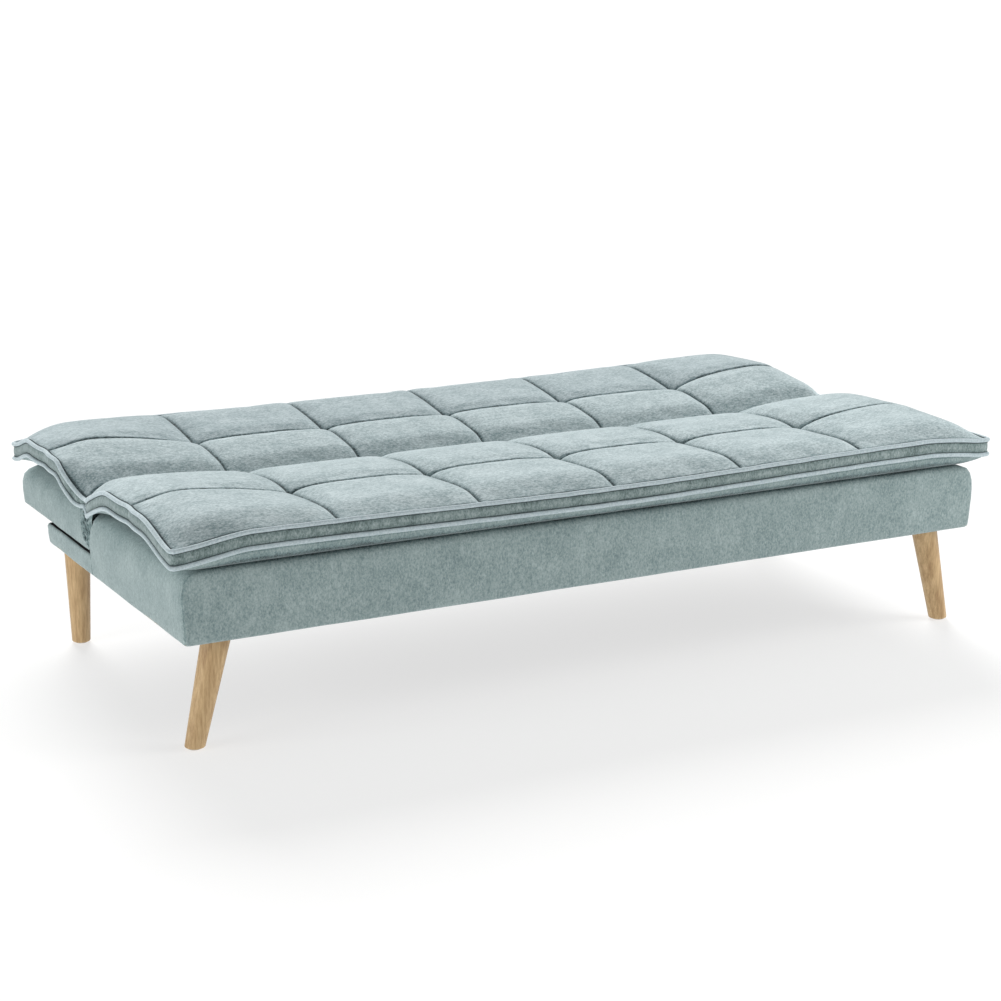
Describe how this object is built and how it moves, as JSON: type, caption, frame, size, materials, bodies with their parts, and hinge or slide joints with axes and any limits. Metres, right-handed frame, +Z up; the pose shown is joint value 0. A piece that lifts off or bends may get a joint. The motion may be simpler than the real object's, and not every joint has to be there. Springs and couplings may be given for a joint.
{
  "type": "futon sofa bed",
  "caption": "Armless click-clack futon sofa bed, laid flat: quilted piped mattress on an upholstered box base, hinged backrest and splayed round wooden legs.",
  "frame": {"origin": "centre of the outline at floor level, with the backrest laid flat", "axes": "+X along the length, +Y from the front edge of the seat towards the backrest, +Z up"},
  "size_m": [1.81, 0.98, 0.4325],
  "materials": {
    "mattress_fabric": "matte",
    "upholstery_fabric": "matte",
    "piping_fabric": "matte",
    "foam": "matte",
    "dust_cloth": "matte",
    "oak": "satin",
    "pine": "matte",
    "spring_steel": "satin",
    "zinc_steel": "satin",
    "glide_plastic": "matte"
  },
  "bodies": {
    "base": {"base_runner_left": "pine", "base_runner_right": "pine", "seat_side_rail_left": "pine", "seat_side_rail_right": "pine", "seat_front_rail": "pine", "seat_mid_rail": "pine", "base_rear_rail": "pine", "seat_bearers": "pine", "ledge_bearers": "pine", "leg_blocks": "pine", "leg_front_left": "oak", "leg_front_right": "oak", "leg_rear_left": "oak", "leg_rear_right": "oak", "hanger_bolts": "zinc_steel", "tee_nuts": "zinc_steel", "foot_glides": "glide_plastic", "dust_cover": "dust_cloth", "seat_springs": "spring_steel", "seat_spring_clips": "zinc_steel", "seat_deck_pad": "foam", "seat_border_front": "upholstery_fabric", "seat_border_left": "upholstery_fabric", "seat_border_right": "upholstery_fabric", "seat_border_rear": "upholstery_fabric", "ledge_border_left": "upholstery_fabric", "ledge_border_right": "upholstery_fabric", "ledge_border_rear": "upholstery_fabric", "ledge_cover": "upholstery_fabric", "seat_mattress": "mattress_fabric", "hinge_seat_plate_left": "zinc_steel", "hinge_seat_plate_right": "zinc_steel", "hinge_pivot_pin_left": "zinc_steel", "hinge_pivot_pin_right": "zinc_steel", "pawl_pins": "zinc_steel", "pawl_springs": "spring_steel", "hinge_seat_screws": "zinc_steel"},
    "backrest": {"back_side_rail_left": "pine", "back_side_rail_right": "pine", "back_lower_rail": "pine", "back_upper_rail": "pine", "back_bearers": "pine", "back_springs": "spring_steel", "back_spring_clips": "zinc_steel", "back_deck_pad": "foam", "back_border_left": "upholstery_fabric", "back_border_right": "upholstery_fabric", "back_border_top": "upholstery_fabric", "back_border_bottom": "upholstery_fabric", "back_panel": "upholstery_fabric", "back_mattress": "mattress_fabric", "hinge_back_plate_left": "zinc_steel", "hinge_back_plate_right": "zinc_steel", "hinge_back_screws": "zinc_steel"},
    "pawl_left": {"pawl_left": "zinc_steel"},
    "pawl_right": {"pawl_right": "zinc_steel"}
  },
  "joints": [
    {"name": "backrest_fold", "type": "hinge", "parent": "base", "child": "backrest", "pos_m": [0, 0.045, 0.345], "axis": [1, 0, 0], "range_deg": [0, 80]},
    {"name": "pawl_left_swing", "type": "hinge", "parent": "base", "child": "pawl_left", "pos_m": [0, 0.019, 0.317], "axis": [1, 0, 0], "range_deg": [0, 8], "stiffness_Nm_per_rad": 0.3, "springref_deg": -11.46},
    {"name": "pawl_right_swing", "type": "hinge", "parent": "base", "child": "pawl_right", "pos_m": [0, 0.019, 0.317], "axis": [1, 0, 0], "range_deg": [0, 8], "stiffness_Nm_per_rad": 0.3, "springref_deg": -11.46}
  ]
}
